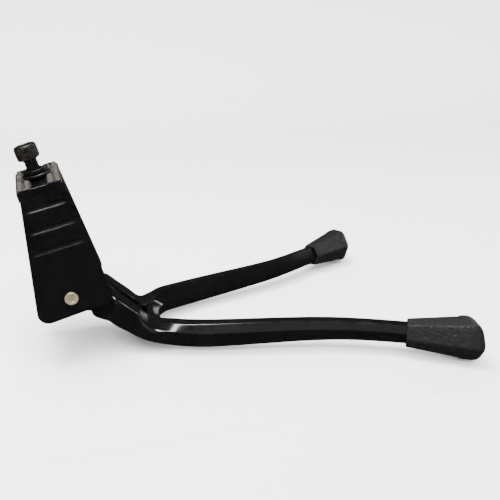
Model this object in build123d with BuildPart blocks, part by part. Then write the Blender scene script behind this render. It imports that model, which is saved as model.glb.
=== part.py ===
from build123d import *
from math import cos, hypot, radians, sin, tan
import os

os.makedirs("parts", exist_ok=True)

# Folding double-leg centre stand for a bicycle. Millimetres.
# Origin: middle of the clamp pad on the tooth tips, on the clamp bolt's axis.
# +Z up along the bolt, +X to the rear (the side the legs fold to), +Y to the far leg.

# ---------------------------------------------------------------- driving dimensions
PAD_X, PAD_Y = 32.0, 65.2            # clamp pad, a little proud of the cheeks
TOOTH = 2.0                          # height of the clamp teeth
TOOTH_PITCH = 5.0                    # across the pad
TOOTH_ROWS, TOOTH_ROW_PITCH = 3, 21.4
TOOTH_GAP = 0.4
TOOTH_DRAFT = 30.0
LIP_T, LIP_H, LIP_DIP = 1.4, 1.8, 0.6  # low wall at each end of the pad, lower across the channel
CHANNEL = 11.0                       # smooth channel across the pad at the bolt
BLOCK_DEPTH = 8.0                    # straight-sided top block, pad to the cheeks
PLATE_UNDER = -16.0                  # underside of the top plate
PLATE_BOSS_R, PLATE_BOSS_H = 9.0, 6.0  # boss round the bolt hole
CHEEK_TOP_Y, CHEEK_BOTTOM_Y = 32.2, 35.5
CHEEK_IN = 27.5                      # half the gap between the cheeks
CHEEK_FRONT_TOP, CHEEK_REAR_TOP = -15.4, 16.2
CHEEK_FRONT, CHEEK_REAR = (-32.1, -97.3), (24.7, -95.6)
CHEEK_R = 8.0                        # rounded lower corners
WEB = 5.0                            # front web between the cheeks
WEB_END = -60.0
GROOVE_H, GROOVE_DEEP, GROOVE_PITCH = 4.8, 1.5, 15.0
GROOVE_DRAFT = 45.0                  # slope of the groove walls
GROOVE_FLARE = 2 * GROOVE_DEEP * tan(radians(GROOVE_DRAFT))
GROOVE_TOP = -14.6                   # centre of the first groove
GROOVE_END = 2.6                     # grooves stop this far from the cheek's edges

PIVOT = (-4.5, -83.7)                # hinge axis, x and z
PIN_R = 4.0
PIN_FIT = 0.05                       # radial running clearance in the bush
RIVET_R, RIVET_H = 4.7, 0.9
DIMPLE_R, DIMPLE_DEEP = 2.8, 1.4
BUSH_R, BUSH_FLANGE_R, BUSH_FLANGE = 6.0, 9.5, 1.5
HUB_Y = 25.7                         # half width of the fork between the cheeks
HUB_R = 14.0
BLOCK_Y = 30.0                       # half width of the fork's block
SLOT_Y = 7.0                         # half width of the spring slot
ROOT_ANGLE = 55.4                    # slope of the fork's block below level, legs folded

BOLT_R, HEAD_R, HEAD_H, BOLT_LEN = 5.0, 8.0, 10.0, 40.0
BOLT_UNDER_HEAD = 11.5               # the bolt stands this far out of the pad
HEX_AF, HEX_DEEP = 8.0, 5.5
THREAD_FIT = 0.06
WASHER_R, WASHER_HOLE_R, WASHER_T = 10.0, 5.4, 2.0
LOCK_R, LOCK_HOLE_R, LOCK_T, LOCK_RISE = 9.0, 5.5, 2.2, 1.6

SPRING_PIN_R = 2.5
ANCHOR = (-8.0, -46.0)               # spring's upper pin, x and z
HOOK_ALONG, HOOK_UP = 48.0, 7.5      # spring's lower pin, along and square to the block
WIRE_R, COIL_R, COILS = 1.0, 4.0, 22
LUG_IN, LUG_OUT = 8.0, 13.0

FOOT_RIM = (219.0, 92.9, -171.8)
FOOT_END = (262.5, 118.0, -181.7)


def along(distance, square):
    """Point in x and z at a distance along the fork's block and square to it."""
    a = radians(ROOT_ANGLE)
    x = PIVOT[0] + distance * cos(a) + square * sin(a)
    z = PIVOT[1] - distance * sin(a) + square * cos(a)
    return (x, z)


def side_plane(y):
    """Plane seen from the near side: local x to the rear, local y up."""
    return Plane(origin=(0, y, 0), x_dir=(1, 0, 0), z_dir=(0, -1, 0))


MID = side_plane(0)
SIDES = ((-1, "left"), (1, "right"))

# ---------------------------------------------------------------- housing
# One aluminium casting: toothed pad, top block, two cheeks, a short front web,
# two stop lugs for the lowered stand and two lugs that hold the spring's upper pin.
TOP_FRONT = (CHEEK_FRONT_TOP, -BLOCK_DEPTH)
TOP_REAR = (CHEEK_REAR_TOP, -BLOCK_DEPTH)
FRONT_RUN = (CHEEK_FRONT[0] - CHEEK_FRONT_TOP) / (CHEEK_FRONT[1] + BLOCK_DEPTH)
CHEEK_FOOT = CHEEK_FRONT[1] - 1      # just below the cheeks
CHEEK_FLARE = (CHEEK_BOTTOM_Y - CHEEK_TOP_Y) / (-CHEEK_FOOT - BLOCK_DEPTH)


def front_x(z):
    """Front edge of the housing at a height."""
    return CHEEK_FRONT_TOP + FRONT_RUN * (z + BLOCK_DEPTH)


def cheek_face(z):
    """Outer face of a cheek at a height, from the middle plane."""
    return CHEEK_TOP_Y + CHEEK_FLARE * (-z - BLOCK_DEPTH)


def groove_ends(z):
    """Front and rear end of a cheek groove, short of the cheek's edges."""
    t = (z + BLOCK_DEPTH) / (CHEEK_REAR[1] + BLOCK_DEPTH)
    rear = CHEEK_REAR_TOP + t * (CHEEK_REAR[0] - CHEEK_REAR_TOP)
    return front_x(z) + GROOVE_END, rear - GROOVE_END


with BuildPart() as housing:
    with BuildSketch(MID):
        with BuildLine():
            Polyline(TOP_FRONT, TOP_REAR, CHEEK_REAR, CHEEK_FRONT, TOP_FRONT)
        make_face()
        fillet(vertices().sort_by(Axis.Y)[:2], CHEEK_R)
    extrude(amount=CHEEK_BOTTOM_Y + 1, both=True)
    # the cheeks flare a little towards the bottom
    with BuildSketch(Plane.YZ):
        with BuildLine():
            Polyline(
                (-CHEEK_TOP_Y, 0),
                (CHEEK_TOP_Y, 0),
                (CHEEK_TOP_Y, -BLOCK_DEPTH),
                (CHEEK_BOTTOM_Y, CHEEK_FOOT),
                (-CHEEK_BOTTOM_Y, CHEEK_FOOT),
                (-CHEEK_TOP_Y, -BLOCK_DEPTH),
                (-CHEEK_TOP_Y, 0),
            )
        make_face()
    extrude(amount=60, both=True, mode=Mode.INTERSECT)
    # hollow between the cheeks, open at the rear and below
    with BuildSketch(MID):
        with BuildLine():
            Polyline(
                (front_x(PLATE_UNDER) + WEB, PLATE_UNDER),
                (40, PLATE_UNDER),
                (40, -110),
                (-45, -110),
                (-45, WEB_END),
                (front_x(WEB_END) + WEB, WEB_END),
                (front_x(PLATE_UNDER) + WEB, PLATE_UNDER),
            )
        make_face()
    extrude(amount=CHEEK_IN, both=True, mode=Mode.SUBTRACT)
    # top block
    with BuildSketch(Plane.XY.offset(-BLOCK_DEPTH)):
        RectangleRounded(PAD_X, PAD_Y, 1.5)
    extrude(amount=BLOCK_DEPTH - TOOTH)
    # low wall at each end of the pad
    with BuildSketch(Plane.XY.offset(-TOOTH)):
        with GridLocations(1, PAD_Y - LIP_T, 1, 2):
            Rectangle(PAD_X - 3, LIP_T)
    extrude(amount=LIP_H - LIP_DIP)
    with BuildSketch(Plane.XY.offset(-TOOTH)):
        with GridLocations((PAD_X - 3 + CHANNEL) / 2, PAD_Y - LIP_T, 2, 2):
            Rectangle((PAD_X - 3 - CHANNEL) / 2, LIP_T)
    extrude(amount=LIP_H)
    # clamp teeth: blunt pyramids either side of the bolt channel
    with BuildSketch(Plane.XY.offset(-TOOTH)):
        for side in (-1, 1):
            for column in range(2):
                x = side * (CHANNEL / 2 + TOOTH_PITCH / 2 + column * TOOTH_PITCH)
                with Locations((x, 0)):
                    with GridLocations(TOOTH_PITCH, TOOTH_ROW_PITCH, 1, TOOTH_ROWS):
                        Rectangle(TOOTH_PITCH - TOOTH_GAP, TOOTH_ROW_PITCH - TOOTH_GAP)
    extrude(amount=TOOTH, taper=TOOTH_DRAFT)
    # cheek grooves, both outer faces
    for side in (-1, 1):
        for row in range(3):
            z = GROOVE_TOP - row * GROOVE_PITCH
            front, rear = groove_ends(z)
            with BuildSketch(side_plane(side * (cheek_face(z) + GROOVE_DEEP))):
                with Locations(((front + rear) / 2, z)):
                    SlotOverall(rear - front + GROOVE_FLARE, GROOVE_H + GROOVE_FLARE)
            extrude(amount=side * 2 * GROOVE_DEEP, taper=GROOVE_DRAFT, mode=Mode.SUBTRACT)
    # boss under the plate and the threaded bolt hole
    with BuildSketch(Plane.XY.offset(PLATE_UNDER)):
        Circle(PLATE_BOSS_R)
    extrude(amount=-PLATE_BOSS_H)
    with BuildSketch(Plane.XY):
        Circle(BOLT_R + THREAD_FIT)
    extrude(amount=PLATE_UNDER - PLATE_BOSS_H - 1, mode=Mode.SUBTRACT)
    # lugs for the spring's upper pin
    for side in (-1, 1):
        with BuildSketch(side_plane(side * (LUG_IN + LUG_OUT) / 2)):
            with BuildLine():
                Polyline(
                    (front_x(PLATE_UNDER) + WEB - 1, PLATE_UNDER + 1),
                    (2, PLATE_UNDER + 1),
                    (-1, ANCHOR[1]),
                    (ANCHOR[0], ANCHOR[1] - 6),
                    (ANCHOR[0] - 6, ANCHOR[1]),
                    (front_x(PLATE_UNDER) + WEB - 1, PLATE_UNDER + 1),
                )
            make_face()
        extrude(amount=(LUG_OUT - LUG_IN) / 2, both=True)
    with BuildSketch(MID):
        with Locations(ANCHOR):
            Circle(SPRING_PIN_R)
    extrude(amount=LUG_OUT, both=True, mode=Mode.SUBTRACT)
    # stop lugs on the cheeks for the lowered stand
    for side in (-1, 1):
        with BuildSketch(side_plane(side * (CHEEK_IN - 8))):
            with BuildLine():
                Polyline(
                    (-29.5, -84), (-23.5, -88), (-22.4, -95.6), (-26, -96.4), (-30.5, -92), (-29.5, -84)
                )
            make_face()
        extrude(amount=9 if side < 0 else -9)
    # holes for the two pivot pins
    with BuildSketch(MID):
        with Locations(PIVOT):
            Circle(PIN_R)
    extrude(amount=40, both=True, mode=Mode.SUBTRACT)
housing.part.label = "housing"
export_step(housing.part, "parts/housing.step")

# ---------------------------------------------------------------- pivot pins
# Two stub pins, each flared over in its cheek; the middle stays free for the spring.
PIN_IN = SLOT_Y + 1.5
PIVOT_FACE_Y = cheek_face(PIVOT[1])


def pivot_pin(side):
    """Stub pin with a flared, dimpled end outside the cheek."""
    with BuildPart() as pin:
        with BuildSketch(side_plane(side * PIN_IN)):
            with Locations(PIVOT):
                Circle(PIN_R)
        extrude(amount=-side * (PIVOT_FACE_Y + RIVET_H - PIN_IN))
        with BuildSketch(side_plane(side * (PIVOT_FACE_Y + 0.35))):
            with Locations(PIVOT):
                Circle(RIVET_R)
        extrude(amount=-side * (RIVET_H - 0.35))
        with BuildSketch(side_plane(side * (PIVOT_FACE_Y + RIVET_H))):
            with Locations(PIVOT):
                Circle(DIMPLE_R)
        extrude(amount=side * DIMPLE_DEEP, mode=Mode.SUBTRACT)
    return pin.part


def flanged_bush(side):
    """Bush pressed into the fork's hub, its flange running against the cheek."""
    with BuildPart() as bush:
        with BuildSketch(side_plane(side * PIN_IN)):
            with Locations(PIVOT):
                Circle(BUSH_R)
        extrude(amount=-side * (HUB_Y - PIN_IN))
        with BuildSketch(side_plane(side * HUB_Y)):
            with Locations(PIVOT):
                Circle(BUSH_FLANGE_R)
        extrude(amount=-side * BUSH_FLANGE)
        with BuildSketch(MID):
            with Locations(PIVOT):
                Circle(PIN_R + PIN_FIT)
        extrude(amount=50, both=True, mode=Mode.SUBTRACT)
    return bush.part


for side, name in SIDES:
    pin = pivot_pin(side)
    pin.label = "pivot_pin_" + name
    export_step(pin, "parts/pivot_pin_" + name + ".step")
    bush = flanged_bush(side)
    bush.label = "pivot_bush_" + name
    export_step(bush, "parts/pivot_bush_" + name + ".step")

# ---------------------------------------------------------------- fork
# One casting: slotted hub, wide block and two six-sided legs that splay near the feet.
HOOK = along(HOOK_ALONG, HOOK_UP)
SHOULDER_TOP, SHOULDER_FOOT = (23.8, -95.6), (16.7, -114.2)
SHOULDER_RUN = 6.5                   # length of the chamfer at each shoulder
BLOCK_ROUND = 4.5
shoulder_line = Vector(*SHOULDER_TOP, 0) - Vector(*SHOULDER_FOOT, 0)
shoulder_line = Vector(shoulder_line.X, 0, shoulder_line.Y).normalized()
SHOULDER_PLANE = Plane(
    origin=(SHOULDER_FOOT[0], 0, SHOULDER_FOOT[1]),
    x_dir=Vector(0, 1, 0).cross(shoulder_line),
    z_dir=shoulder_line,
)

# centre x, y, z; half width; half height; how far the outer ridge sits above the middle
LEG = (
    (34.0, 17.5, -117.8, 12.6, 8.6, 3.2),
    (47.0, 24.5, -130.2, 12.0, 8.8, 2.8),
    (61.0, 33.5, -138.0, 10.6, 9.6, 1.5),
    (78.0, 40.6, -142.2, 9.8, 10.0, 0.4),
    (100.0, 47.2, -146.8, 9.4, 9.7, 0.0),
    (122.0, 53.2, -151.2, 9.0, 9.3, 0.0),
    (144.0, 59.3, -155.6, 8.6, 8.8, 0.0),
    (160.0, 64.2, -158.9, 8.4, 8.5, 0.0),
    (174.0, 69.4, -161.8, 8.2, 8.2, 0.0),
    (188.0, 76.0, -164.7, 8.0, 8.0, 0.0),
    (204.0, 84.6, -168.2, 7.9, 7.9, 0.0),
    (222.0, 94.6, -172.4, 7.8, 7.8, 0.0),
    (242.0, 106.0, -177.0, 7.6, 7.6, 0.0),
)
FLAT = 0.42                          # width of the flats above and below


def leg_plane(index):
    """Plane square to the leg at a station: local x outwards, local y up."""
    before = Vector(*LEG[max(index - 1, 0)][:3])
    after = Vector(*LEG[min(index + 1, len(LEG) - 1)][:3])
    run = (after - before).normalized()
    out = Vector(0, 0, 1).cross(run).normalized()
    return Plane(origin=LEG[index][:3], x_dir=out, z_dir=run)


with BuildPart() as leg:
    for index, (x, y, z, width, height, ridge) in enumerate(LEG):
        flat = FLAT * width
        with BuildSketch(leg_plane(index)):
            with BuildLine():
                Polyline(
                    (-flat, height),
                    (flat, height),
                    (width, ridge),
                    (flat, -height),
                    (-flat, -height),
                    (-width, 0),
                    (-flat, height),
                )
            make_face()
    loft()

# wide block behind the shoulder
with BuildPart() as block:
    with BuildSketch(MID):
        with BuildLine():
            Polyline(
                SHOULDER_TOP,
                along(63.5, 16.5),
                (49.5, -134.0),
                (52.0, -146.3),
                (43.0, -141.0),
                (33.0, -131.6),
                (23.3, -121.4),
                SHOULDER_FOOT,
                SHOULDER_TOP,
            )
        make_face()
    extrude(amount=BLOCK_Y, both=True)
    top_edges = [
        edge
        for edge in block.edges()
        if abs(abs(edge.center().Y) - BLOCK_Y) < 0.01 and edge.length > 35
    ]
    fillet(top_edges, BLOCK_ROUND)
    # chamfered shoulders, from the hub's width out to the block's
    for side in (-1, 1):
        with BuildSketch(SHOULDER_PLANE):
            with BuildLine():
                Polyline(
                    (-1, side * HUB_Y),
                    (0, side * HUB_Y),
                    (SHOULDER_RUN, side * (BLOCK_Y + 0.5)),
                    (-1, side * (BLOCK_Y + 0.5)),
                    (-1, side * HUB_Y),
                )
            make_face()
        extrude(amount=40, both=True, mode=Mode.SUBTRACT)

with BuildPart() as fork:
    # hub between the cheeks
    with BuildSketch(MID):
        with Locations(PIVOT):
            Circle(HUB_R)
        with BuildLine():
            Polyline(
                along(-3, 13.6),
                along(7, 16.5),
                along(34, 16.5),
                along(40, -1.0),
                along(33, -2.6),
                along(27, -4.3),
                along(23.4, -4.1),
                along(20.6, -2.2),
                along(11.5, -8),
                along(-3, 13.6),
            )
        make_face()
    extrude(amount=HUB_Y, both=True)
    add(block.part)
    # saddle between the legs, a step below the block
    with BuildSketch(MID):
        with BuildLine():
            Polyline(
                along(58, 13.4),
                along(66, 13.4),
                (64.0, -139.5),
                (64.0, -147.4),
                (52.0, -146.3),
                (43.0, -141.0),
                along(58, 13.4),
            )
        make_face()
    extrude(amount=BLOCK_Y - 4, both=True)
    # rounded crotch between the legs
    with BuildSketch(Plane.XY.offset(-160)):
        with BuildLine():
            Spline((72, -32), (61, -22), (55.5, -12), (54.0, 0), (55.5, 12), (61, 22), (72, 32))
            Line((72, 32), (72, -32))
        make_face()
    extrude(amount=40, mode=Mode.SUBTRACT)
    add(leg.part)
    add(mirror(leg.part, about=Plane.XZ, mode=Mode.PRIVATE))
    # slot for the spring: right through the hub, with a floor under the lower pin
    with BuildSketch(MID):
        with BuildLine():
            Polyline(
                along(-30, 30),
                along(62, 30),
                along(62, 2.8),
                along(46, 2.0),
                along(43.5, -1.2),
                along(38, -20),
                along(-30, -20),
                along(-30, 30),
            )
        make_face()
    extrude(amount=SLOT_Y, both=True, mode=Mode.SUBTRACT)
    with BuildSketch(MID):
        with Locations(PIVOT):
            Circle(BUSH_R)
    extrude(amount=50, both=True, mode=Mode.SUBTRACT)
    # the spring's lower pin sits in a hole drilled from the far side
    with BuildSketch(side_plane(-12)):
        with Locations(HOOK):
            Circle(SPRING_PIN_R)
    extrude(amount=-60, mode=Mode.SUBTRACT)
fork.part.label = "fork"
export_step(fork.part, "parts/fork.step")

# ---------------------------------------------------------------- spring and its pins
PIN_PLAY = 0.15


def cross_pin(centre, y_from, y_to):
    """Plain pin across the stand."""
    with BuildPart() as pin:
        with BuildSketch(side_plane(y_from)):
            with Locations(centre):
                Circle(SPRING_PIN_R)
        extrude(amount=-(y_to - y_from))
    return pin.part


anchor_pin = cross_pin(ANCHOR, -LUG_OUT, LUG_OUT)
anchor_pin.label = "spring_anchor_pin"
export_step(anchor_pin, "parts/spring_anchor_pin.step")
hook_pin = cross_pin(HOOK, -12, 12)
hook_pin.label = "spring_hook_pin"
export_step(hook_pin, "parts/spring_hook_pin.step")

# Extension spring: close coils with a full loop at each end, in the middle plane.
SPAN = hypot(HOOK[0] - ANCHOR[0], HOOK[1] - ANCHOR[1])
EYE = SPRING_PIN_R + PIN_PLAY + WIRE_R          # loop radius to the wire's centre
BODY_START = EYE + COIL_R * 0.9
BODY = SPAN - 2 * BODY_START
SPRING_PLANE = Plane(
    origin=(ANCHOR[0], 0, ANCHOR[1]),
    x_dir=(0, 1, 0),
    z_dir=(HOOK[0] - ANCHOR[0], 0, HOOK[1] - ANCHOR[1]),
)
with BuildPart() as spring:
    with BuildLine() as coil_line:
        Helix(pitch=BODY / COILS, height=BODY, radius=COIL_R, center=(0, 0, BODY_START))
    with BuildSketch(Plane(origin=coil_line.line @ 0, z_dir=coil_line.line % 0)):
        Circle(WIRE_R)
    sweep(path=coil_line.line, is_frenet=True)
    for eye_z, coil_z, turn in ((0, BODY_START, 1), (SPAN, SPAN - BODY_START, -1)):
        with BuildSketch(Plane(origin=(0, 0, eye_z + turn * EYE), x_dir=(1, 0, 0), z_dir=(0, 1, 0))):
            Circle(WIRE_R)
        revolve(axis=Axis((0, 0, eye_z), (1, 0, 0)), revolution_arc=360)
        with BuildLine() as neck:
            Line((0, 0, eye_z + turn * EYE), (COIL_R, 0, coil_z))
        with BuildSketch(Plane(origin=neck.line @ 0, z_dir=neck.line % 0)):
            Circle(WIRE_R)
        sweep(path=neck.line)
spring.part = SPRING_PLANE.location * spring.part
spring.part.label = "return_spring"
export_step(spring.part, "parts/return_spring.step")

# ---------------------------------------------------------------- clamp bolt and washers
with BuildPart() as clamp_bolt:
    with BuildSketch(Plane.XY.offset(BOLT_UNDER_HEAD)):
        Circle(HEAD_R)
    extrude(amount=HEAD_H)
    chamfer(clamp_bolt.edges().sort_by(Axis.Z)[-1], 0.8)
    with BuildSketch(Plane.XY.offset(BOLT_UNDER_HEAD + HEAD_H)):
        RegularPolygon(radius=HEX_AF / 2, side_count=6, major_radius=False)
    extrude(amount=-HEX_DEEP, mode=Mode.SUBTRACT)
    with BuildSketch(Plane.XY.offset(BOLT_UNDER_HEAD)):
        Circle(BOLT_R)
    extrude(amount=-BOLT_LEN)
    chamfer(clamp_bolt.edges().sort_by(Axis.Z)[0], 1.0)
clamp_bolt.part.label = "clamp_bolt"
export_step(clamp_bolt.part, "parts/clamp_bolt.step")

with BuildPart() as flat_washer:
    with BuildSketch(Plane.XY):
        Circle(WASHER_R)
        Circle(WASHER_HOLE_R, mode=Mode.SUBTRACT)
    extrude(amount=WASHER_T)
    chamfer(flat_washer.edges().group_by(Axis.Z)[-1].sort_by(SortBy.RADIUS)[-1], 0.4)
flat_washer.part.label = "flat_washer"
export_step(flat_washer.part, "parts/flat_washer.step")

# Split ring: one turn of flat wire climbing by its own rise, with a slanted gap.
with BuildPart() as lock_washer:
    with BuildLine(Plane.XY.offset(WASHER_T + LOCK_T / 2)) as ring:
        Helix(pitch=LOCK_RISE * 1.05, height=LOCK_RISE, radius=(LOCK_R + LOCK_HOLE_R) / 2)
    with BuildSketch(Plane(origin=ring.line @ 0, x_dir=(1, 0, 0), z_dir=ring.line % 0)):
        Rectangle(LOCK_R - LOCK_HOLE_R, LOCK_T)
    sweep(path=ring.line, is_frenet=True)
lock_washer.part.label = "lock_washer"
export_step(lock_washer.part, "parts/lock_washer.step")

# ---------------------------------------------------------------- feet
# Rubber caps, six-sided like the legs, wider towards a rounded sole.
FOOT_RUN = Vector(*FOOT_END) - Vector(*FOOT_RIM)
FOOT_LEN = FOOT_RUN.length + 1.5
FOOT_AXIS = FOOT_RUN.normalized()
FOOT_OUT = Vector(0, 0, 1).cross(FOOT_AXIS).normalized()
FOOT = Plane(origin=FOOT_RIM, x_dir=FOOT_OUT, z_dir=FOOT_AXIS)
RIM_R, MOUTH_R, SOLE_R = 11.0, 15.6, 16.8
BAND = 12.0                          # band near the sole
SLANT = 0.38                         # the sole faces the ground when the legs are down


def foot_plane(height, slant=0.0):
    """Plane across the foot, turned towards the ground plane of the lowered stand."""
    z_dir = (FOOT_AXIS - FOOT_OUT * slant).normalized()
    x_dir = (FOOT_OUT + FOOT_AXIS * slant).normalized()
    return Plane(origin=FOOT.origin + FOOT_AXIS * height, x_dir=x_dir, z_dir=z_dir)


with BuildPart() as foot:
    for height, radius in ((0, RIM_R), (FOOT_LEN - BAND - 5, MOUTH_R)):
        with BuildSketch(foot_plane(height)):
            RegularPolygon(radius=radius, side_count=6)
    loft()
    for (low, low_r, low_slant), (high, high_r, high_slant) in (
        ((FOOT_LEN - BAND - 5, MOUTH_R, 0), (FOOT_LEN - BAND, MOUTH_R + 0.7, SLANT / 2)),
        ((FOOT_LEN - BAND, MOUTH_R + 0.7, SLANT / 2), (FOOT_LEN - 5, SOLE_R, SLANT)),
        ((FOOT_LEN - 5, SOLE_R, SLANT), (FOOT_LEN - 1.3, SOLE_R - 3.5, SLANT)),
        ((FOOT_LEN - 1.3, SOLE_R - 3.5, SLANT), (FOOT_LEN, SOLE_R - 9, SLANT)),
    ):
        with BuildSketch(foot_plane(low, low_slant)):
            RegularPolygon(radius=low_r, side_count=6)
        with BuildSketch(foot_plane(high, high_slant)):
            RegularPolygon(radius=high_r, side_count=6)
        loft()
    add(leg.part, mode=Mode.SUBTRACT)
for side, name in SIDES:
    cap = mirror(foot.part, about=Plane.XZ) if side < 0 else foot.part
    cap.label = "foot_" + name
    export_step(cap, "parts/foot_" + name + ".step")
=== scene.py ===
# %% [markdown]
# This scene dresses a folding double-leg centre stand for a bicycle. The stand bolts under the frame
# behind the cranks: a toothed pad grips the chainstays, and a forked leg swings down from between two
# cheeks. Every visible piece is built here in metres, in the same frame as the CAD model, so the joints
# still work: +Z runs up the clamp bolt, +X runs to the rear, and the legs are shown folded back.

# %% Set up
import bmesh
import bpy
import math
import numpy as np
from mathutils import Matrix, Vector


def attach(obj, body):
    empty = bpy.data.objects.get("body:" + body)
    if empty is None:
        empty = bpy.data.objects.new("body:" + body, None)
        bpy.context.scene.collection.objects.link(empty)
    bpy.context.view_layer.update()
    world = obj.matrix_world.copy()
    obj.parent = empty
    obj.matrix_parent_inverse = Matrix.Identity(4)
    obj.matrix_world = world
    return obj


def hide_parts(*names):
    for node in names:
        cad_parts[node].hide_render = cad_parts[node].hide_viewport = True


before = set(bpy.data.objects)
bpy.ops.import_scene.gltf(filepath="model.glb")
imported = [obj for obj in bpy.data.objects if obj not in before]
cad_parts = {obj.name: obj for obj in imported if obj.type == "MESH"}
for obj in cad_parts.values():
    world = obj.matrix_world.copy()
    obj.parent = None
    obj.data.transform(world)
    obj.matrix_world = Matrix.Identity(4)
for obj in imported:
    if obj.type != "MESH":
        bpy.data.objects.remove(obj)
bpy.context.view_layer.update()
MM = 0.001
print("CAD nodes:", sorted(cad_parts))

# %% [markdown]
# Four small helpers come first. They make a mesh from millimetres, turn its faces outwards, turn
# modifiers into a plain mesh, and join the parts of a casting. Each leaves a plain mesh object at the
# origin, because that is what the joints and the export need. Bpy's operators could do the same, but
# they depend on what is selected, and a script is safer without that.

# %% Mesh helpers
def new_mesh(name, verts, faces, smooth=True):
    """Mesh object at the origin from vertices in millimetres."""
    mesh = bpy.data.meshes.new(name)
    mesh.from_pydata([[c * MM for c in v] for v in verts], [], faces)
    mesh.validate()
    mesh.update()
    ob = bpy.data.objects.new(name, mesh)
    bpy.context.scene.collection.objects.link(ob)
    fix_normals(ob)
    mesh.polygons.foreach_set("use_smooth", [smooth] * len(mesh.polygons))
    return ob


def fix_normals(ob):
    """Turns every face outwards."""
    bm = bmesh.new()
    bm.from_mesh(ob.data)
    bmesh.ops.remove_doubles(bm, verts=bm.verts, dist=1e-6)
    bmesh.ops.recalc_face_normals(bm, faces=bm.faces)
    bm.to_mesh(ob.data)
    bm.free()


def baked(ob, name=None):
    """Plain mesh object with the modifiers applied, replacing the one that carried them."""
    depsgraph = bpy.context.evaluated_depsgraph_get()
    mesh = bpy.data.meshes.new_from_object(ob.evaluated_get(depsgraph))
    out = bpy.data.objects.new(name or ob.name, mesh)
    bpy.context.scene.collection.objects.link(out)
    old = ob.name
    bpy.data.objects.remove(ob)
    out.name = name or old
    return out


def joined(name, parts):
    """One object from several, with no materials yet."""
    verts, faces, smooth = [], [], []
    for ob in parts:
        base = len(verts)
        verts += [tuple(v.co) for v in ob.data.vertices]
        for p in ob.data.polygons:
            faces.append([base + i for i in p.vertices])
            smooth.append(p.use_smooth)
    mesh = bpy.data.meshes.new(name)
    mesh.from_pydata(verts, [], faces)
    mesh.update()
    mesh.polygons.foreach_set("use_smooth", smooth)
    for ob in parts:
        bpy.data.objects.remove(ob)
    ob = bpy.data.objects.new(name, mesh)
    bpy.context.scene.collection.objects.link(ob)
    return ob


print("helpers ready, lengths in millimetres times", MM)

# %% [markdown]
# Castings, rubber caps and turned parts all have soft corners and smooth runs, so their sections are
# outlines with rounded corners. A sweep skins a row of such outlines, a lathe turns one profile round
# an axis, and a spline fills in the outlines between a few key ones. Modelling by sections was chosen
# over sculpting because every width and height stays a plain number.

# %% Outlines, sweeps and turning
def round_corners(points, radii, steps=5):
    """Closed outline with each corner replaced by an arc of the given radius."""
    out = []
    n = len(points)
    for i in range(n):
        p, a, b = (np.array(points[k % n], float) for k in (i, i - 1, i + 1))
        da, db = a - p, b - p
        la, lb = np.linalg.norm(da), np.linalg.norm(db)
        da, db = da / la, db / lb
        half = 0.5 * math.acos(max(-1, min(1, float(da @ db))))
        reach = min(radii[i] / max(math.tan(half), 0.01) if half < 1.5 else radii[i], 0.48 * la, 0.48 * lb)
        start, end = p + da * reach, p + db * reach
        for s in range(steps + 1):
            t = s / steps
            out.append(tuple((1 - t) ** 2 * start + 2 * t * (1 - t) * p + t * t * end))
    return out


def sweep_rings(name, rings, closed=False, smooth=True):
    """Skin over a list of rings of points, capped at both ends unless the rings close on themselves."""
    n, m = len(rings), len(rings[0])
    verts = [tuple(p) for ring in rings for p in ring]
    faces = []
    for i in range(n if closed else n - 1):
        for j in range(m):
            k = (i + 1) % n
            faces.append([i * m + j, i * m + (j + 1) % m, k * m + (j + 1) % m, k * m + j])
    if not closed:
        for end in (0, n - 1):
            faces.append([end * m + j for j in range(m)])
    return new_mesh(name, verts, faces, smooth)


def lathe(name, profile, centre, axis, steps=64):
    """Turned piece: (radius, height) profile about an axis through a centre."""
    axis = Vector(axis).normalized()
    side = axis.orthogonal().normalized()
    other = axis.cross(side)
    rings = []
    for i in range(steps):
        a = 2 * math.pi * i / steps
        d = side * math.cos(a) + other * math.sin(a)
        rings.append([Vector(centre) + d * max(r, 1e-4) + axis * h for r, h in profile])
    return sweep_rings(name, rings, closed=True)


def spline_rings(keys, times, count):
    """Rings interpolated smoothly through key rings (cubic, one point at a time)."""
    keys, times = np.array(keys, float), np.array(times, float)
    slopes = np.gradient(keys, times, axis=0)
    out = []
    for t in np.linspace(times[0], times[-1], count):
        i = min(int(np.searchsorted(times, t, side="right")) - 1, len(times) - 2)
        h = times[i + 1] - times[i]
        s = (t - times[i]) / h
        a, b = 2 * s**3 - 3 * s**2 + 1, -2 * s**3 + 3 * s**2
        c, d = (s**3 - 2 * s**2 + s) * h, (s**3 - s**2) * h
        out.append(a * keys[i] + b * keys[i + 1] + c * slopes[i] + d * slopes[i + 1])
    return out


rounded_square = round_corners([(0, 0), (4, 0), (4, 4), (0, 4)], [1] * 4)
print("a square with rounded corners has", len(rounded_square), "points")

# %% [markdown]
# Paint, plating and rubber share two effects, so each is a node group that gives out only a mask or a
# normal. *Surface grain* mixes a fine and a coarse noise into a normal: orange peel on paint, casting
# skin under it, pores on rubber. *Edge wear* compares the rounded and the true normal, so it is bright
# only along edges, where handling rubs a finish thin.

# %% Shader groups
def group(name, inputs, outputs):
    """Empty shader group with named sockets, and its input and output nodes."""
    g = bpy.data.node_groups.new(name, "ShaderNodeTree")
    for label, kind, default in inputs:
        s = g.interface.new_socket(label, in_out="INPUT", socket_type=kind)
        if default is not None:
            s.default_value = default
    for label, kind in outputs:
        g.interface.new_socket(label, in_out="OUTPUT", socket_type=kind)
    return g, g.nodes.new("NodeGroupInput"), g.nodes.new("NodeGroupOutput")


def node(tree, kind, values=None, **settings):
    """One node with some of its inputs and settings set."""
    n = tree.nodes.new(kind)
    for k, v in settings.items():
        setattr(n, k, v)
    for k, v in (values or {}).items():
        n.inputs[k].default_value = v
    return n


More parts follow.
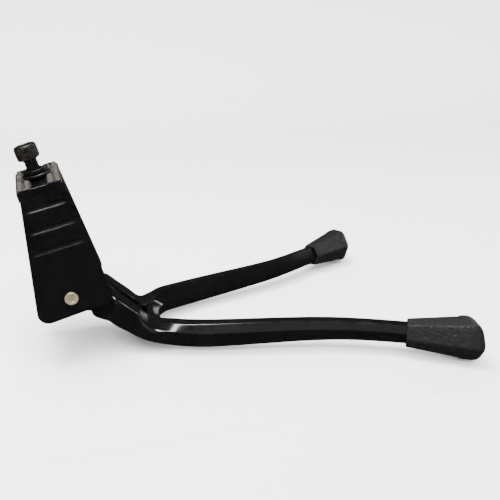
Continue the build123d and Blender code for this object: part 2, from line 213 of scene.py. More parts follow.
def grain_group():
    """Fine and coarse noise over a rounded normal."""
    g, gi, go = group(
        "Surface grain",
        [("Fine scale", "NodeSocketFloat", 900.0), ("Coarse scale", "NodeSocketFloat", 120.0),
         ("Fine height", "NodeSocketFloat", 0.02), ("Coarse height", "NodeSocketFloat", 0.05),
         ("Rounding", "NodeSocketFloat", 0.0006)],
        [("Normal", "NodeSocketVector"), ("Mottle", "NodeSocketFloat"), ("Speckle", "NodeSocketFloat")])
    L = g.links.new
    where = node(g, "ShaderNodeTexCoord")
    fine = node(g, "ShaderNodeTexNoise", {"Detail": 3.0, "Roughness": 0.6})
    coarse = node(g, "ShaderNodeTexNoise", {"Detail": 2.0})
    bevel = node(g, "ShaderNodeBevel", samples=4)
    b1 = node(g, "ShaderNodeBump", {"Distance": 0.0004})
    b2 = node(g, "ShaderNodeBump", {"Distance": 0.002})
    L(where.outputs["Object"], fine.inputs["Vector"])
    L(where.outputs["Object"], coarse.inputs["Vector"])
    L(gi.outputs["Fine scale"], fine.inputs["Scale"])
    L(gi.outputs["Coarse scale"], coarse.inputs["Scale"])
    L(gi.outputs["Rounding"], bevel.inputs["Radius"])
    L(coarse.outputs[0], b2.inputs["Height"])
    L(gi.outputs["Coarse height"], b2.inputs["Strength"])
    L(bevel.outputs[0], b2.inputs["Normal"])
    L(fine.outputs[0], b1.inputs["Height"])
    L(gi.outputs["Fine height"], b1.inputs["Strength"])
    L(b2.outputs[0], b1.inputs["Normal"])
    L(b1.outputs[0], go.inputs["Normal"])
    L(coarse.outputs[0], go.inputs["Mottle"])
    L(fine.outputs[0], go.inputs["Speckle"])
    return g


def wear_group():
    """Mask along the edges, broken up by noise."""
    g, gi, go = group(
        "Edge wear",
        [("Width", "NodeSocketFloat", 0.0008), ("Break up", "NodeSocketFloat", 260.0),
         ("Amount", "NodeSocketFloat", 0.5)],
        [("Wear", "NodeSocketFloat")])
    L = g.links.new
    geo = node(g, "ShaderNodeNewGeometry")
    bevel = node(g, "ShaderNodeBevel", samples=4)
    dot = node(g, "ShaderNodeVectorMath", operation="DOT_PRODUCT")
    edge = node(g, "ShaderNodeMapRange", {"From Min": 0.995, "From Max": 0.9})
    where = node(g, "ShaderNodeTexCoord")
    noise = node(g, "ShaderNodeTexNoise", {"Detail": 4.0, "Roughness": 0.7})
    cut = node(g, "ShaderNodeMapRange", {"From Min": 0.42, "From Max": 0.62})
    both = node(g, "ShaderNodeMath", operation="MULTIPLY")
    amount = node(g, "ShaderNodeMath", operation="MULTIPLY")
    L(gi.outputs["Width"], bevel.inputs["Radius"])
    L(bevel.outputs[0], dot.inputs[0])
    L(geo.outputs["Normal"], dot.inputs[1])
    L(dot.outputs["Value"], edge.inputs["Value"])
    L(where.outputs["Object"], noise.inputs["Vector"])
    L(gi.outputs["Break up"], noise.inputs["Scale"])
    L(noise.outputs[0], cut.inputs["Value"])
    L(edge.outputs[0], both.inputs[0])
    L(cut.outputs[0], both.inputs[1])
    L(both.outputs[0], amount.inputs[0])
    L(gi.outputs["Amount"], amount.inputs[1])
    L(amount.outputs[0], go.inputs["Wear"])
    return g


GRAIN, WEAR = grain_group(), wear_group()
print("shader groups:", GRAIN.name, "and", WEAR.name)

# %% [markdown]
# Every surface of the stand is one of seven finishes: gloss black paint, bare cast teeth, black oxide,
# zinc on rivets, zinc on spring wire, sintered bronze and moulded rubber. Each could be a flat colour,
# but a real finish drifts between two tones and is rubbed lighter at its edges. One function builds that
# drift, the rough patches, the grain and the wear, and each finish only chooses its own values.

# %% Materials
COAT_ROUGH = 0.08


def finish(name, dark, light, worn, rough, metallic=0.0, coat=0.0, grain=(900, 120, 0.02, 0.05, 0.0006),
           wear=(0.0008, 260, 0.5), worn_metal=0.0, spec=0.5):
    """Finish with mottled colour and roughness, a grained normal and worn edges."""
    m = bpy.data.materials.new(name)
    m.use_nodes = True
    t = m.node_tree
    L = t.links.new
    p = t.nodes["Principled BSDF"]
    g = node(t, "ShaderNodeGroup", node_tree=GRAIN)
    w = node(t, "ShaderNodeGroup", node_tree=WEAR)
    for key, value in zip(("Fine scale", "Coarse scale", "Fine height", "Coarse height", "Rounding"), grain):
        g.inputs[key].default_value = value
    for key, value in zip(("Width", "Break up", "Amount"), wear):
        w.inputs[key].default_value = value
    tone = node(t, "ShaderNodeMix", data_type="RGBA")
    body = node(t, "ShaderNodeMix", data_type="RGBA")
    tone.inputs[6].default_value = (*dark, 1)
    tone.inputs[7].default_value = (*light, 1)
    body.inputs[7].default_value = (*worn, 1)
    r = node(t, "ShaderNodeMapRange", {"From Min": 0.3, "From Max": 0.7,
                                       "To Min": rough[0], "To Max": rough[1]})
    L(g.outputs["Mottle"], tone.inputs[0])
    L(tone.outputs[2], body.inputs[6])
    L(w.outputs["Wear"], body.inputs[0])
    L(body.outputs[2], p.inputs["Base Color"])
    L(g.outputs["Mottle"], r.inputs["Value"])
    L(r.outputs[0], p.inputs["Roughness"])
    L(g.outputs["Normal"], p.inputs["Normal"])
    p.inputs["Metallic"].default_value = metallic
    p.inputs["Coat Weight"].default_value = coat
    p.inputs["Coat Roughness"].default_value = COAT_ROUGH
    p.inputs["Specular IOR Level"].default_value = spec
    if worn_metal != metallic:
        mm = node(t, "ShaderNodeMapRange", {"To Min": metallic, "To Max": worn_metal})
        L(w.outputs["Wear"], mm.inputs["Value"])
        L(mm.outputs[0], p.inputs["Metallic"])
    return m


paint = finish("gloss_black_paint", (0.0012, 0.0012, 0.0013), (0.003, 0.003, 0.003), (0.10, 0.095, 0.09),
               (0.16, 0.26), coat=0.25, grain=(700, 90, 0.03, 0.05, 0.0009), wear=(0.0006, 300, 0.25),
               worn_metal=0.5)
teeth_metal = finish("bare_cast_teeth", (0.004, 0.0035, 0.003), (0.14, 0.128, 0.112), (0.30, 0.29, 0.27),
                     (0.42, 0.65), metallic=0.6, grain=(1500, 420, 0.9, 1.0, 0.0007), wear=(0.0008, 300, 0.5))
black_oxide = finish("black_oxide_steel", (0.0018, 0.0016, 0.0014), (0.006, 0.0052, 0.0045),
                     (0.06, 0.055, 0.05), (0.24, 0.36), grain=(1600, 300, 0.15, 0.1, 0.0003),
                     wear=(0.0004, 500, 0.6))
zinc = finish("zinc_plated_steel", (0.42, 0.36, 0.24), (0.74, 0.66, 0.46), (0.92, 0.88, 0.74),
              (0.24, 0.4), metallic=0.8, grain=(1800, 350, 0.12, 0.1, 0.0004), wear=(0.0004, 500, 0.5))
wire = finish("zinc_plated_wire", (0.38, 0.37, 0.35), (0.58, 0.57, 0.55), (0.75, 0.74, 0.72),
              (0.25, 0.4), metallic=1.0, grain=(1500, 300, 0.1, 0.1, 0.0003), wear=(0.0003, 500, 0.4))
bronze = finish("sintered_bronze", (0.33, 0.20, 0.08), (0.50, 0.33, 0.14), (0.65, 0.48, 0.24),
                (0.35, 0.5), metallic=1.0, grain=(2200, 400, 0.3, 0.1, 0.0003), wear=(0.0004, 500, 0.4))
rubber = finish("foot_rubber", (0.0035, 0.0035, 0.0038), (0.009, 0.009, 0.0092), (0.09, 0.09, 0.09),
                (0.40, 0.55), grain=(800, 420, 0.8, 0.5, 0.0008), wear=(0.0012, 330, 0.5), spec=0.3)
print("finishes:", [m.name for m in (paint, teeth_metal, black_oxide, zinc, wire, bronze, rubber)])

# %% [markdown]
# The fork is one casting: a slotted hub between the cheeks, a wide block behind the shoulder and two
# six-sided legs. A cast leg keeps a ridge along each side because the mould parts there. The skin is
# drawn through key sections, from the block's square shoulder to the slim leg, so the rounded upper
# edge of the block runs on as the leg's ridge without a break.

# %% Fork sections
# each row of LEG is the middle of the leg, its half width, its half height and the ridge above the middle
PIVOT = np.array([-4.5, 0.0, -83.7])
ROOT = math.radians(55.4)
ALONG = np.array([math.cos(ROOT), 0, -math.sin(ROOT)])
SQUARE = np.array([math.sin(ROOT), 0, math.cos(ROOT)])
LEG = [(61, 33.5, -138, 10.4, 9.6, 5.6), (78, 40.6, -142.2, 9.6, 9.9, 4.6),
       (100, 47.2, -146.8, 9.2, 9.7, 4.2), (122, 53.2, -151.2, 8.9, 9.3, 4.0),
       (144, 59.3, -155.6, 8.6, 8.8, 3.7), (160, 64.2, -158.9, 8.4, 8.5, 3.5),
       (174, 69.4, -161.8, 8.2, 8.2, 3.4), (188, 76, -164.7, 8, 8, 3.3),
       (204, 84.6, -168.2, 7.9, 7.9, 3.2), (222, 94.6, -172.4, 7.8, 7.8, 3.1),
       (240, 104.9, -176.6, 7.6, 7.6, 3.0)]
FLAT = 0.42
BLOCK_TOP, BLOCK_DEEP = 16.5, 17.0
SKIN_RINGS = 150


def block_section(d, inner, outer, top, under, skew=0.0):
    """Half of the block at a distance along it: slot side, flat top, rounded outer edge, sloping side."""
    pts = [(inner, top), (inner + 6, top), (outer, top), (outer - 1.2, under), (inner + 2, under),
           (inner, (top + under) / 2)]
    ring = round_corners(pts, [0.7, 1.0, 4.2, 2.5, 1.5, 0.5])
    section = []
    for u, v in ring:
        lag = skew * max(0.0, (BLOCK_TOP - v) / BLOCK_DEEP) ** 1.5
        section.append(PIVOT + ALONG * (d + lag) + SQUARE * v + np.array([0, 1, 0]) * u)
    return section


def leg_section(i, radius=1.0):
    """Six-sided section of the right leg at one key point, square to the leg's run."""
    x, y, z, w, h, ridge = LEG[i]
    a, b = np.array(LEG[max(i - 1, 0)][:3]), np.array(LEG[min(i + 1, len(LEG) - 1)][:3])
    run = (b - a) / np.linalg.norm(b - a)
    out = np.cross([0, 0, 1], run)
    out /= np.linalg.norm(out)
    up = np.cross(run, out)
    f = FLAT * w
    ring = round_corners([(-f, h), (f, h), (w, ridge), (f, -h), (-f, -h), (-w, -2)], [radius] * 6)
    return [np.array([x, y, z]) + out * u - up * v * (1 if up[2] < 0 else -1) for u, v in ring]


SHOULDER = [(22.5, 25.9), (25.2, 25.9), (25.6, 26.0), (28.3, 29.8), (28.8, 30.1), (31.5, 30.2)]
keys = [block_section(d, 7, outer, BLOCK_TOP, -0.9, 9) for d, outer in SHOULDER]
keys += [block_section(42, 7, 30.2, BLOCK_TOP, -0.6, 4), block_section(52, 7, 30.8, BLOCK_TOP, 0.6, 1),
         block_section(60, 8.5, 33.5, 15.6, 1.9)]
keys += [leg_section(i) for i in range(len(LEG))]
centres = [np.mean(k, axis=0) for k in keys]
times = np.concatenate([[0], np.cumsum([np.linalg.norm(b - a) for a, b in zip(centres, centres[1:])])])
leg_rings = spline_rings(keys, times, SKIN_RINGS)
right_leg = sweep_rings("leg_right_skin", leg_rings)
left_leg = sweep_rings("leg_left_skin", [[p * [1, -1, 1] for p in ring] for ring in leg_rings])
print("leg path length mm:", round(float(times[-1]), 1), "rings:", SKIN_RINGS)

# %% [markdown]
# Where the legs part, the casting closes in a rounded saddle. It could be blended with a boolean and a
# bevel, but that is fragile on curved legs. It is one more sweep instead, round the fork of the legs,
# with its ends buried in them.

# %% Saddle between the legs
crotch_path = [(84, 37.0, -143.6), (72, 30.5, -141.0), (62.5, 23.5, -138.7), (56.5, 15, -137.2),
               (54.8, 7, -137.0), (54.2, 0, -136.9)]
crotch_path += [(x, -y, z) for x, y, z in crotch_path[-2::-1]]
crotch_path = [np.array(p, float) for p in crotch_path]
LEGS_OPEN_X = 110
crotch = []
for i, p in enumerate(crotch_path):
    a, b = crotch_path[max(i - 1, 0)], crotch_path[min(i + 1, len(crotch_path) - 1)]
    run = (b - a) / np.linalg.norm(b - a)
    gap = np.cross([0, 0, 1], run)
    gap /= np.linalg.norm(gap)
    gap *= np.sign(gap @ (np.array([LEGS_OPEN_X, 0, p[2]]) - p))
    ring = round_corners([(-9, 6.8), (-4.6, 6.8), (0, 0), (-4.6, -9.3), (-9, -9.3)], [0.5, 3, 2.2, 3, 0.5], 4)
    crotch.append([p + gap * u + np.array([0, 0, v]) for u, v in ring])
steps = [np.linalg.norm(b - a) for a, b in zip(crotch_path, crotch_path[1:])]
saddle = sweep_rings("crotch_skin", spline_rings(crotch, np.concatenate([[0], np.cumsum(steps)]), 60))
print("saddle runs mm:", round(float(sum(steps)), 1))

# %% [markdown]
# Towards the pivot the casting opens into two arms, with a slot between them for the spring. The arms and
# the floor of the slot are plates of a drawn outline with rounded edges. They overlap inside the metal,
# as the parts of a casting run into each other, and everything is joined into one object.

# %% Arms, slot floor and the whole fork
def slab(name, outline, y0, y1, bevel=1.0):
    """Plate of a given outline in x and z, between two y values, with rounded edges."""
    verts = [(x, y0, z) for x, z in outline] + [(x, y1, z) for x, z in outline]
    n = len(outline)
    faces = [list(range(n)), list(range(n, 2 * n))]
    faces += [[i, (i + 1) % n, n + (i + 1) % n, n + i] for i in range(n)]
    ob = new_mesh(name, verts, faces, smooth=True)
    b = ob.modifiers.new("round", "BEVEL")
    b.width, b.segments, b.limit_method, b.angle_limit = bevel * MM, 3, "ANGLE", math.radians(40)
    b.harden_normals = True
    return baked(ob)


def frame_xz(d, n):
    """Point of the side outline from its distance along the block and square to it."""
    p = PIVOT + ALONG * d + SQUARE * n
    return (p[0], p[2])


hub_outline = [frame_xz(*q) for q in ((6.5, BLOCK_TOP), (23, BLOCK_TOP), (26, 14.5), (36, 10), (38, -1.0),
                                      (33, -2.6), (27, -4.3), (23.4, -4.1), (20.6, -2.2), (13.5, -7.4))]
HUB_R = 14
for s in range(11):
    a = math.radians(-60 - s * 15.5)
    hub_outline.append(frame_xz(HUB_R * math.cos(a), HUB_R * math.sin(a)))
arms = [slab("hub_arm_right", hub_outline, 7, 25.7), slab("hub_arm_left", hub_outline, -25.7, -7)]
floor_outline = [frame_xz(*q) for q in ((43.6, -0.5), (46, 2.0), (58.5, 2.8), (59.5, 14.6), (64, 12.6),
                                        (69, 11.0), (69, 2.5), (60, 1.6), (50, 0.2))]
web = slab("slot_floor", floor_outline, -16, 16, 0.5)
fork = joined("fork_casting", [right_leg, left_leg, saddle, web] + arms)
fork.data.materials.append(paint)
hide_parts("fork"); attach(fork, "legs")
print("fork:", len(fork.data.polygons), "faces")

# %% [markdown]
# The housing is the other casting. Its outline, grooves and pin holes come from the CAD solid; a real
# casting never has a razor edge, so every edge is rounded by about half a millimetre. The cheeks are
# sprayed gloss black, and the clamp teeth are left bare so that they bite.

# %% Housing
def softened(node_name, name, width, segments=2, angle=28):
    """Copy of a CAD node with flat faces merged and its edges rounded."""
    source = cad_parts[node_name]
    mesh = source.data.copy()
    bm = bmesh.new()
    bm.from_mesh(mesh)
    bmesh.ops.remove_doubles(bm, verts=bm.verts, dist=2e-6)
    bmesh.ops.dissolve_limit(bm, angle_limit=math.radians(0.6), verts=bm.verts, edges=bm.edges)
    bm.to_mesh(mesh)
    bm.free()
    ob = bpy.data.objects.new(name, mesh)
    bpy.context.scene.collection.objects.link(ob)
    ob.data.materials.clear()
    if ob.data.has_custom_normals:
        with bpy.context.temp_override(object=ob, active_object=ob):
            bpy.ops.mesh.customdata_custom_splitnormals_clear()
    ob.data.polygons.foreach_set("use_smooth", [True] * len(ob.data.polygons))
    b = ob.modifiers.new("round", "BEVEL")
    b.width, b.segments, b.limit_method, b.angle_limit = width * MM, segments, "ANGLE", math.radians(angle)
    b.use_clamp_overlap = True
    b.harden_normals = True
    return baked(ob, name)


housing = softened("housing", "housing_casting", 0.6)
housing.data.materials.append(paint)
housing.data.materials.append(teeth_metal)
for face in housing.data.polygons:
    on_teeth = 5.4 * MM < abs(face.center.x) < 15.6 * MM and abs(face.center.y) < 31.25 * MM
    if face.center.z > -2.15 * MM and on_teeth:
        face.material_index = 1
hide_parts("housing"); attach(housing, "base")
print("housing:", len(housing.data.polygons), "faces")

# %% [markdown]
# The feet are moulded rubber caps pushed over the ends of the legs. Each keeps the leg's six sides,
# widens towards the ground, carries a slightly proud band near the sole and ends in a rounded pad.

# %% Feet
RIM, END = np.array([219.0, 92.9, -171.8]), np.array([262.5, 118.0, -181.7])
axis = (END - RIM) / np.linalg.norm(END - RIM)
out = np.cross([0, 0, 1], axis)
out /= np.linalg.norm(out)
up = np.cross(axis, out)
FOOT_LEN = float(np.linalg.norm(END - RIM)) + 1.5
SLANT = 0.38


def foot_ring(t, r, corner):
    """Six-sided ring of the foot at a distance from its rim; the rings lean near the sole."""
    tilt = SLANT * min(1.0, max(0.0, (t - FOOT_LEN + 17) / 12)) * (1 if r > 8 else r / 8)
    pts = [(r * math.cos(math.radians(60 * k)), r * math.sin(math.radians(60 * k))) for k in range(6)]
    return [RIM + axis * (t + tilt * u) + out * u + up * v for u, v in round_corners(pts, [corner] * 6, 6)]


# each row is the distance from the rim, the ring's radius and how round its corners are
profile = [(7.0, 7.4, 1.5), (1.2, 8.6, 1.5), (0.2, 9.0, 1.5), (0.0, 9.6, 1.5), (0.0, 10.4, 1.5),
           (0.5, 11.0, 1.6), (2.0, 11.15, 1.6), (FOOT_LEN - 17, 15.3, 2.2), (FOOT_LEN - 15.6, 15.5, 2.4),
           (FOOT_LEN - 14.6, 16.1, 2.6), (FOOT_LEN - 13.4, 16.45, 2.8), (FOOT_LEN - 8, 16.9, 4),
           (FOOT_LEN - 5, 16.6, 5), (FOOT_LEN - 2.8, 15.2, 6),
           (FOOT_LEN - 1.2, 12.4, 6), (FOOT_LEN - 0.3, 8.0, 4), (FOOT_LEN, 3.0, 1.5), (FOOT_LEN, 0.3, 0.1)]
for side, label in ((1, "right"), (-1, "left")):
    rings = [[p * [1, side, 1] for p in foot_ring(*q)] for q in profile]
    foot = sweep_rings("foot_cap_" + label, rings)
    foot.data.materials.append(rubber)
    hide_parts("foot_" + label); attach(foot, "legs")
print("foot length mm:", round(FOOT_LEN, 1))

# %% [markdown]
# The legs turn on two short rivets, one in each cheek, inside flanged bronze bushes, and the spring hangs
# between two cross pins. All are turned parts, so a profile spun round its own axis is the whole shape.
# A rivet's head is a low rim with a dimple where the tool pressed it.

# %% Pins and bushes
CHEEK_TOP_Y, CHEEK_SPREAD, CHEEK_HEIGHT, PIVOT_DROP = 32.2, 3.3, 90.3, 75.7
for side, label in ((1, "right"), (-1, "left")):
    face = CHEEK_TOP_Y + CHEEK_SPREAD * PIVOT_DROP / CHEEK_HEIGHT
    pin = lathe("rivet_" + label, [(0, 8.5), (3.6, 8.5), (4.0, 9), (4.0, face + .1), (4.3, face + .25),
                                   (4.75, face + .35), (4.8, face + .7), (4.45, face + 1.0), (3.4, face + 1.0),
                                   (2.9, face + .6), (2.6, face - .3), (2.0, face - .9), (0.9, face - .55),
                                   (0, face - .4)], (PIVOT[0], 0, PIVOT[2]), (0, side, 0))
    pin.data.materials.append(zinc)
    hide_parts("pivot_pin_" + label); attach(pin, "base")
    bush = lathe("bush_" + label, [(4.1, 8.5), (5.8, 8.5), (6, 8.8), (6, 25.7), (9.2, 25.75), (9.5, 26),
                                   (9.5, 26.9), (9.2, 27.2), (4.4, 27.2), (4.1, 26.9), (4.1, 8.5)],
                 (PIVOT[0], 0, PIVOT[2]), (0, side, 0))
    bush.data.materials.append(bronze)
    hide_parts("pivot_bush_" + label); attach(bush, "legs")
HOOK = PIVOT + ALONG * 48 + SQUARE * 7.5
ANCHOR = np.array([-8.0, 0, -46.0])
for label, centre, half, body in (("anchor", ANCHOR, 13, "base"), ("hook", HOOK, 12, "legs")):
    pin = lathe("spring_" + label, [(0, -half), (2.0, -half), (2.5, -half + .5), (2.5, half - .5),
                                    (2.0, half), (0, half)], centre, (0, 1, 0), 40)
    pin.data.materials.append(zinc)
    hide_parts("spring_%s_pin" % label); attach(pin, body)
print("rivet heads stand at y mm:", round(face, 1), "and the spring spans", np.round(HOOK - ANCHOR, 1))

# %% [markdown]
# The extension spring pulls the legs past a dead centre, so they stay up or stay down. It is wound wire:
# close coils with an eye turned at each end. A node tree draws the coil from a spiral with the number of
# turns, radius, length and wire as its inputs, then the result is turned into a plain mesh.

# %% Geometry node helpers
def geo_tree(name, inputs):
    """Empty node tree with named inputs that gives out geometry."""
    g = bpy.data.node_groups.new(name, "GeometryNodeTree")
    g.interface.new_socket("Geometry", in_out="OUTPUT", socket_type="NodeSocketGeometry")
    for label, kind, default in inputs:
        s = g.interface.new_socket(label, in_out="INPUT", socket_type=kind)
        if default is not None:
            s.default_value = default
    return g, g.nodes.new("NodeGroupInput"), g.nodes.new("NodeGroupOutput")


def run_tree(g, name, **values):
    """Object made by a node tree with its inputs set, as a plain mesh."""
    ob = bpy.data.objects.new(name + "_nodes", bpy.data.meshes.new(name + "_nodes"))
    bpy.context.scene.collection.objects.link(ob)
    mod = ob.modifiers.new(g.name, "NODES")
    mod.node_group = g
    sockets = [s for s in g.interface.items_tree if s.item_type == "SOCKET" and s.in_out == "INPUT"]
    ids = {s.name: s.identifier for s in sockets}
    for label, value in values.items():
        mod[ids[label.replace("_", " ")]] = value
    ob.update_tag()
    bpy.context.view_layer.update()
    out = baked(ob, name)
    print(name, "from nodes:", len(out.data.polygons), "faces")
    return out


print("node tree helpers ready")

# %% [markdown]
# The coil's length comes from the two pins: the span between them, less the two eyes. The tree is set
# with that length. The eyes are short sweeps of the same wire, because a spiral can't turn a loop.

# %% Spring
g, gi, go = geo_tree("Wound coil", [("Turns", "NodeSocketFloat", 20.0), ("Radius", "NodeSocketFloat", 0.0045),
                                    ("Length", "NodeSocketFloat", 0.06), ("Wire", "NodeSocketFloat", 0.001),
                                    ("Finish", "NodeSocketMaterial", None)])
L = g.links.new
spiral = node(g, "GeometryNodeCurveSpiral", {"Resolution": 24})
ring = node(g, "GeometryNodeCurvePrimitiveCircle", {"Resolution": 10})
skin = node(g, "GeometryNodeCurveToMesh", {"Fill Caps": True})
real = node(g, "GeometryNodeRealizeInstances")
mat = node(g, "GeometryNodeSetMaterial")
L(gi.outputs["Turns"], spiral.inputs["Rotations"])
L(gi.outputs["Radius"], spiral.inputs["Start Radius"])
L(gi.outputs["Radius"], spiral.inputs["End Radius"])
L(gi.outputs["Length"], spiral.inputs["Height"])
L(gi.outputs["Wire"], ring.inputs["Radius"])
L(spiral.outputs[0], skin.inputs["Curve"])
L(ring.outputs[0], skin.inputs["Profile Curve"])
L(skin.outputs[0], real.inputs[0])
L(real.outputs[0], mat.inputs["Geometry"])
L(gi.outputs["Finish"], mat.inputs["Material"])
L(mat.outputs[0], go.inputs[0])
SPAN = float(np.linalg.norm(HOOK - ANCHOR))
WIRE_R, COIL_R, PIN_R = 0.98, 4.0, 2.5
EYE = PIN_R + 0.15 + 1.0
START = EYE + COIL_R * 0.9
coil = run_tree(g, "coil", Turns=27.0, Radius=0.0040, Length=(SPAN - 2 * START) * MM,
                Wire=0.00098, Finish=wire)
zax = Vector(HOOK - ANCHOR).normalized()
turn = Matrix((Vector((0, 1, 0)), zax.cross(Vector((0, 1, 0))), zax)).transposed().to_4x4()
coil.data.transform(Matrix.Translation(Vector(ANCHOR) * MM) @ turn @ Matrix.Translation((0, 0, START * MM)))


def wire_loop(name, start_z, direction, coil_angle):
    """Eye of the spring: a neck from the coil, then most of a turn round the pin."""
    path = [(COIL_R * math.cos(coil_angle), COIL_R * math.sin(coil_angle), start_z + direction * START)]
    path.append((2.4 * math.cos(coil_angle), 2.4 * math.sin(coil_angle), start_z + direction * (EYE + 1.2)))
    for k in range(25):
        a = math.radians(80 - k * 13.2)
        path.append((0, EYE * math.cos(a), start_z + direction * EYE * math.sin(a)))
    pts = [Vector(p) for p in path]
    rings = []
    for i, p in enumerate(pts):
        t = (pts[min(i + 1, len(pts) - 1)] - pts[max(i - 1, 0)]).normalized()
        beside = Vector((0.3, 0.9, 0.1)) if abs(t.x) > 0.9 else Vector((1, 0, 0))
        u = t.cross(beside).normalized()
        v = t.cross(u)
        around = np.linspace(0, 2 * math.pi, 11)[:-1]
        rings.append([p + (u * math.cos(b) + v * math.sin(b)) * WIRE_R for b in around])
    ob = sweep_rings(name, rings)
    ob.data.transform(Matrix.Translation(Vector(ANCHOR) * MM) @ turn)
    return ob


eyes = [wire_loop("eye_top", 0, 1, 0.0), wire_loop("eye_low", SPAN, -1, 0.0)]
spring = joined("over_centre_spring", [coil] + eyes)
spring.data.materials.append(wire)
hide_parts("return_spring"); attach(spring, "spring")
print("spring mm between pins:", round(SPAN, 1))

# %% [markdown]
# The clamp bolt is a socket head screw in black oxide. Its head is knurled so that fingers can start it.
# The ribs could be modelled into the head, but one small rib repeated round it by a node tree is easier
# to change: the number of ribs, their height and their width are inputs.

# %% Knurled ring
g, gi, go = geo_tree("Knurled ring", [("Ribs", "NodeSocketInt", 60), ("Radius", "NodeSocketFloat", 0.0079),
                                      ("Rib height", "NodeSocketFloat", 0.008),
                                      ("Rib width", "NodeSocketFloat", 0.0006),
                                      ("Finish", "NodeSocketMaterial", None)])
L = g.links.new
circle = node(g, "GeometryNodeMeshCircle")
cone = node(g, "GeometryNodeMeshCylinder", {"Vertices": 6})
spots = node(g, "GeometryNodeInstanceOnPoints")
real = node(g, "GeometryNodeRealizeInstances")
mat = node(g, "GeometryNodeSetMaterial")
L(gi.outputs["Ribs"], circle.inputs["Vertices"])
L(gi.outputs["Radius"], circle.inputs["Radius"])
L(gi.outputs["Rib width"], cone.inputs["Radius"])
L(gi.outputs["Rib height"], cone.inputs["Depth"])
L(circle.outputs[0], spots.inputs["Points"])
L(cone.outputs[0], spots.inputs["Instance"])
L(spots.outputs[0], real.inputs[0])
L(real.outputs[0], mat.inputs["Geometry"])
L(gi.outputs["Finish"], mat.inputs["Material"])
L(mat.outputs[0], go.inputs[0])
knurl = run_tree(g, "knurl", Ribs=60, Radius=0.00765, Rib_height=0.0078, Rib_width=0.00034, Finish=black_oxide)
knurl.data.transform(Matrix.Translation((0, 0, 0.0177)))

# %% [markdown]
# The head is a stack of rings that change from the hexagon of the socket to a circle, and the shank is a
# stack whose radius follows the angle and the height, which draws a true thread. A screw modifier would
# make a thread too, but not one that fades out at both ends. The bolt stands a few degrees off square, as
# a loose screw does, over a split lock washer and a flat washer.

# %% Clamp bolt
HEAD0, HEAD1 = 13.0, 23.0
AF = 4.0 / math.cos(math.pi / 6)
HEAD_R = 7.6


def circle_ring(r, z, n=96):
    """Round ring of the head."""
    return [(r * math.cos(2 * math.pi * k / n), r * math.sin(2 * math.pi * k / n), z) for k in range(n)]


def hex_ring(r, z, n=96):
    """Six-sided ring of the socket, with as many points as a round one."""
    ring = []
    for k in range(n):
        a = 2 * math.pi * k / n
        m = (a % (math.pi / 3)) - math.pi / 6
        d = r * math.cos(math.pi / 6) / math.cos(m)
        ring.append((d * math.cos(a), d * math.sin(a), z))
    return ring


def bolt_body():
    """Head with a hex socket, then the shank: rings that change from a hexagon to a circle."""
    rings = [hex_ring(0.05, HEAD1 - 6.6), hex_ring(AF * .5, HEAD1 - 6.1), hex_ring(AF, HEAD1 - 5.3),
             hex_ring(AF, HEAD1 - 0.7), hex_ring(AF * 1.1, HEAD1 - 0.05),
             circle_ring(5.4, HEAD1), circle_ring(6.7, HEAD1), circle_ring(7.35, HEAD1 - 0.3),
             circle_ring(HEAD_R, HEAD1 - 0.9), circle_ring(HEAD_R, HEAD1 - 1.2),
             circle_ring(HEAD_R, HEAD0 + 1.0), circle_ring(HEAD_R, HEAD0 + 0.4),
             circle_ring(7.3, HEAD0), circle_ring(5.0, HEAD0), circle_ring(4.6, HEAD0 - .5),
             circle_ring(4.6, HEAD0 - 1.2)]
    return sweep_rings("bolt_head", rings)


def bolt_thread(z_low, z_high, pitch=1.5, r=4.92, depth=0.85, steps=40):
    """Threaded shank: radius follows the angle and the height, so the ridge is a true helix."""
    rings = []
    n = int((z_high - z_low) / 0.16)
    for i in range(n + 1):
        z = z_low + (z_high - z_low) * i / n
        ring = []
        for k in range(steps):
            phase = (z / pitch + k / steps) % 1.0
            fade = min(1.0, (z_high - z) / 1.2, (z - z_low) / 1.2 + 0.2)
            rr = r - depth * (1 - abs(2 * phase - 1)) * fade
            a = -2 * math.pi * k / steps
            ring.append((rr * math.cos(a), rr * math.sin(a), z))
        rings.append(ring)
    return sweep_rings("bolt_thread", rings)


bolt = joined("clamp_screw_piece", [bolt_body(), bolt_thread(-27.0, 12.2), knurl])
bolt.data.materials.append(black_oxide)
LEAN_DEG = -3.0
swing_point = Matrix.Translation((0, 0, -0.012))
bolt.data.transform(swing_point @ Matrix.Rotation(math.radians(LEAN_DEG), 4, "Y") @ swing_point.inverted())
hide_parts("clamp_bolt"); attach(bolt, "bolt")
print("bolt leans", LEAN_DEG, "degrees, faces:", len(bolt.data.polygons))

# %% [markdown]
# Two washers lie under the head. The flat one is turned from a profile with softened corners. The lock
# washer is a square-section ring cut through once, and its ends are sprung apart in height so that they
# bite when the bolt is done up, so it is a sweep that climbs as it goes round.

# %% Washers
flat = lathe("flat_washer_ring", [(5.5, 0.15), (5.7, 0.02), (9.6, 0.02), (9.95, 0.3), (10.0, 1.6), (9.6, 2.0),
                                  (5.7, 2.0), (5.5, 1.8), (5.5, 0.15)], (0, 0, 0), (0, 0, 1), 96)
flat.data.materials.append(black_oxide)
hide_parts("flat_washer"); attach(flat, "base")
SPRUNG, TURN_STEPS = 1.55, 90
rings = []
for k in range(TURN_STEPS + 1):
    a = math.radians(20 + 340 * k / TURN_STEPS)
    rise = SPRUNG * k / TURN_STEPS
    ring = round_corners([(5.55, 2.02), (8.95, 2.02), (8.95, 4.2), (5.55, 4.2)], [0.25] * 4, 3)
    rings.append([(r * math.cos(a), r * math.sin(a), z + rise) for r, z in ring])
split = sweep_rings("split_washer", rings)
split.data.materials.append(black_oxide)
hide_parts("lock_washer"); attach(split, "base")
print("washers:", len(flat.data.polygons), "and", len(split.data.polygons), "faces")

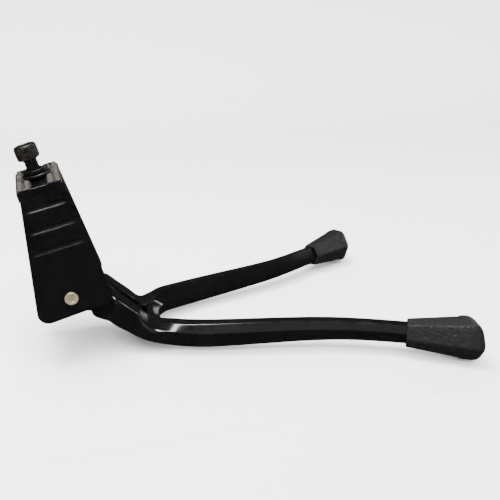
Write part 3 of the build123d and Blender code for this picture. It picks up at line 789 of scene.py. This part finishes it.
# %% [markdown]
# The stand lies on a pale floor that curves up into a backdrop, so no horizon shows. A flat plane would
# do from above, but the curve hides its end from every angle in front. The floor is tilted to lie under
# the elbow and the feet.

# %% Floor and backdrop
def plain(name, colour, rough=0.6):
    """One even surface, for the studio only."""
    m = bpy.data.materials.new(name)
    m.use_nodes = True
    p = m.node_tree.nodes["Principled BSDF"]
    p.inputs["Base Color"].default_value = (*colour, 1)
    p.inputs["Roughness"].default_value = rough
    return m


TILT = math.radians(13.0)
FLOOR = Matrix.Translation(Vector((60, 0, -153.5)) * MM) @ Matrix.Rotation(TILT, 4, "Y")
pale = plain("studio_pale", (0.93, 0.93, 0.93))
SWEEP_R = 500
bend = np.linspace(0, math.pi / 2, 16)
sweep_line = [(-1500, 0)] + [(900 + SWEEP_R * math.sin(a), SWEEP_R - SWEEP_R * math.cos(a)) for a in bend]
sweep_line.append((1400, 3000))
verts = [(x, y, z) for x in (-4000, 4000) for y, z in sweep_line]
count = len(sweep_line)
backdrop = new_mesh("studio_backdrop", verts, [[i, i + 1, count + i + 1, count + i] for i in range(count - 1)])
card = new_mesh("floor_card", [(-110, -150, .2), (270, -150, .2), (270, 170, .2), (-110, 170, .2)],
                [[0, 1, 2, 3]], False)
for part in (backdrop, card):
    part.matrix_world = FLOOR
    part.data.materials.append(pale)
# black paint mirrors its surroundings, so the pale sheets are kept out of it
backdrop.visible_glossy = False
card.visible_glossy = False
print("floor tilt in degrees:", round(math.degrees(TILT), 1))

# %% [markdown]
# The camera stands at the left, a little above and in front, with a moderate lens that keeps the far foot
# smaller than the near one. Its three directions are given as a right-handed set, which is plainer to
# check than three angles.

# %% Camera
CAM = Vector((17.3, -510.1, 108.8)) * MM
forward = Vector((0.2137, 0.8998, -0.3804)).normalized()
right = Vector((0.9262, -0.3104, -0.214)).normalized()
upward = right.cross(forward).normalized()
cam = bpy.data.objects.new("camera", bpy.data.cameras.new("camera"))
cam.matrix_world = Matrix.Translation(CAM) @ Matrix((right, upward, -forward)).transposed().to_4x4()
cam.data.lens, cam.data.sensor_width, cam.data.sensor_fit = 50.4, 36.0, "HORIZONTAL"
cam.data.dof.use_dof = False
cam.data.clip_start = 0.01
bpy.context.scene.collection.objects.link(cam)
bpy.context.scene.camera = cam
print("camera at mm:", [round(c / MM, 1) for c in CAM])

# %% [markdown]
# Gloss black shows only what it reflects, so the lamps are soft boxes, set where the rounded edges and
# the groove lips mirror them as thin bright lines while the flat faces stay dark. A wide, soft sun lights
# the floor, and is kept out of the reflections.

# %% Lights

def softbox(name, towards, far, size, power, aim=(90, 0, -120)):
    """Rectangular lamp in a direction seen from the stand."""
    lamp = bpy.data.objects.new(name, bpy.data.lights.new(name, "AREA"))
    lamp.data.shape, lamp.data.energy = "RECTANGLE", power
    lamp.data.size, lamp.data.size_y = size
    towards, aim = Vector(towards).normalized(), Vector(aim) * MM
    turned = towards.to_track_quat("Z", "Y").to_matrix().to_4x4()
    lamp.matrix_world = Matrix.Translation(aim + towards * far) @ turned
    bpy.context.scene.collection.objects.link(lamp)
    return lamp


softbox("overhead", (0.0, 0.02, 1.0), 0.9, (0.4, 0.42), 19)
softbox("right_side", (0.957, 0.256, 0.14), 0.9, (0.26, 0.2), 1.6)
softbox("front_low", (0.0, -1.0, 0.25), 1.0, (1.2, 0.05), 0.6)
softbox("fill", (-0.1, -0.7, 0.6), 1.4, (1.2, 0.9), 1.2)
wash = bpy.data.objects.new("floor_wash", bpy.data.lights.new("floor_wash", "SUN"))
wash.data.energy, wash.data.angle = 9.6, math.radians(60)
wash.matrix_world = Vector((0.1, -0.55, 0.8)).to_track_quat("Z", "Y").to_matrix().to_4x4()
wash.visible_glossy = False
bpy.context.scene.collection.objects.link(wash)
world = bpy.data.worlds.new("studio")
bpy.context.scene.world = world
world.use_nodes = True
world.node_tree.nodes["Background"].inputs["Color"].default_value = (1, 1, 1, 1)
world.node_tree.nodes["Background"].inputs["Strength"].default_value = 0.03
